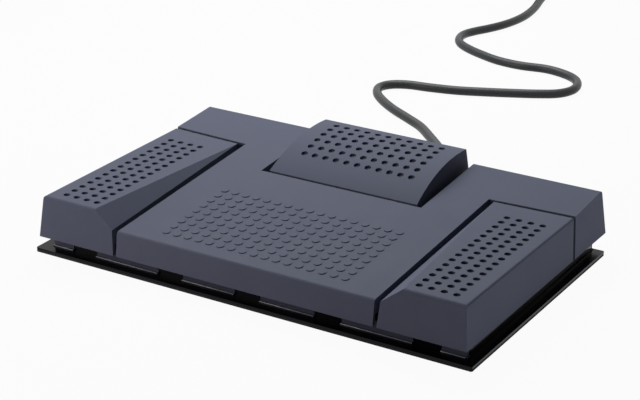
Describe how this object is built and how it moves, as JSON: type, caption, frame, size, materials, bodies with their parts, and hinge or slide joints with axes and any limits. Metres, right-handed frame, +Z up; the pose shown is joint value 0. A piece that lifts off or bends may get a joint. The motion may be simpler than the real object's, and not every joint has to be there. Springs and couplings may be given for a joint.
{
  "type": "usb foot pedal switch",
  "caption": "Low foot switch: flat side pedals, a sloping studded centre pedal and a raised rear pedal, hinged over a weighted base with springs, micro switches, a board and a USB cord.",
  "frame": {"origin": "middle of the body's box on the floor, under the rubber mat", "axes": "+X to the user's right, +Y to the rear where the cord leaves, +Z up"},
  "size_m": [0.3805, 0.7525, 0.0507],
  "materials": {
    "shell_plastic": "fine-grained moulding, slate grey",
    "plate_steel": "black paint",
    "mat_rubber": "matt black",
    "fastener_steel": "zinc plated",
    "spring_steel": "drawn wire",
    "switch_plastic": "black moulding",
    "plunger_plastic": "red moulding",
    "board_laminate": "green solder mask",
    "socket_plastic": "white moulding",
    "cord_jacket": "dark grey jacket",
    "tie_plastic": "black strap",
    "plug_steel": "nickel plated sheet"
  },
  "bodies": {
    "base": {"lower_tray": "shell_plastic", "cable_clamp": "shell_plastic", "base_plate": "plate_steel", "rubber_mat": "mat_rubber", "stop_pads": "mat_rubber", "case_screws": "fastener_steel", "board_screws": "fastener_steel", "clamp_screws": "fastener_steel", "centre_hinge_pins": "fastener_steel", "left_hinge_pin": "fastener_steel", "right_hinge_pin": "fastener_steel", "top_hinge_pin": "fastener_steel", "crystal_can": "fastener_steel", "centre_springs": "spring_steel", "left_spring": "spring_steel", "right_spring": "spring_steel", "top_spring": "spring_steel", "left_switch": "switch_plastic", "right_switch": "switch_plastic", "centre_switch": "switch_plastic", "top_switch": "switch_plastic", "controller_chip": "switch_plastic", "control_board": "board_laminate", "lead_connectors": "socket_plastic", "cord_connector": "socket_plastic", "plug_tongue": "socket_plastic", "inner_cable": "cord_jacket", "cord_run": "cord_jacket", "cord_coil": "cord_jacket", "cord_tail": "cord_jacket", "strain_relief": "cord_jacket", "plug_grip": "cord_jacket", "left_lead": "cord_jacket", "right_lead": "cord_jacket", "centre_lead": "cord_jacket", "top_lead": "cord_jacket", "coil_tie": "tie_plastic", "plug_shell": "plug_steel"},
    "centre_pedal": {"centre_pedal": "shell_plastic"},
    "left_pedal": {"left_pedal": "shell_plastic"},
    "right_pedal": {"right_pedal": "shell_plastic"},
    "top_pedal": {"top_pedal": "shell_plastic"},
    "left_plunger": {"left_plunger": "plunger_plastic"},
    "right_plunger": {"right_plunger": "plunger_plastic"},
    "centre_plunger": {"centre_plunger": "plunger_plastic"},
    "top_plunger": {"top_plunger": "plunger_plastic"}
  },
  "joints": [
    {"name": "centre_pedal_hinge", "type": "hinge", "parent": "base", "child": "centre_pedal", "pos_m": [0, 0.076, 0.0145], "axis": [1, 0, 0], "range_deg": [0, 2], "stiffness_Nm_per_rad": 8, "springref_deg": -5.73, "deforming": ["centre_springs"]},
    {"name": "left_pedal_hinge", "type": "hinge", "parent": "base", "child": "left_pedal", "pos_m": [-0.1237, 0.036, 0.019], "axis": [1, 0, 0], "range_deg": [0, 2.5], "stiffness_Nm_per_rad": 5, "springref_deg": -5.73, "deforming": ["left_spring"]},
    {"name": "right_pedal_hinge", "type": "hinge", "parent": "base", "child": "right_pedal", "pos_m": [0.1237, 0.036, 0.019], "axis": [1, 0, 0], "range_deg": [0, 2.5], "stiffness_Nm_per_rad": 5, "springref_deg": -5.73, "deforming": ["right_spring"]},
    {"name": "top_pedal_hinge", "type": "hinge", "parent": "base", "child": "top_pedal", "pos_m": [0, 0.033, 0.0265], "axis": [-1, 0, 0], "range_deg": [0, 4], "stiffness_Nm_per_rad": 2, "springref_deg": -5.73, "deforming": ["top_spring"]},
    {"name": "left_plunger_slide", "type": "slide", "parent": "base", "child": "left_plunger", "axis": [0, 0, -1], "range_m": [0, 0.0015]},
    {"name": "right_plunger_slide", "type": "slide", "parent": "base", "child": "right_plunger", "axis": [0, 0, -1], "range_m": [0, 0.0015]},
    {"name": "centre_plunger_slide", "type": "slide", "parent": "base", "child": "centre_plunger", "axis": [0, 0, -1], "range_m": [0, 0.0025]},
    {"name": "top_plunger_slide", "type": "slide", "parent": "base", "child": "top_plunger", "axis": [0, 0, -1], "range_m": [0, 0.00156]}
  ],
  "couplings": [
    {"joint": "left_plunger_slide", "follows": "left_pedal_hinge", "m_per_rad": 0.034},
    {"joint": "right_plunger_slide", "follows": "right_pedal_hinge", "m_per_rad": 0.034},
    {"joint": "centre_plunger_slide", "follows": "centre_pedal_hinge", "m_per_rad": 0.071},
    {"joint": "top_plunger_slide", "follows": "top_pedal_hinge", "m_per_rad": 0.022}
  ]
}
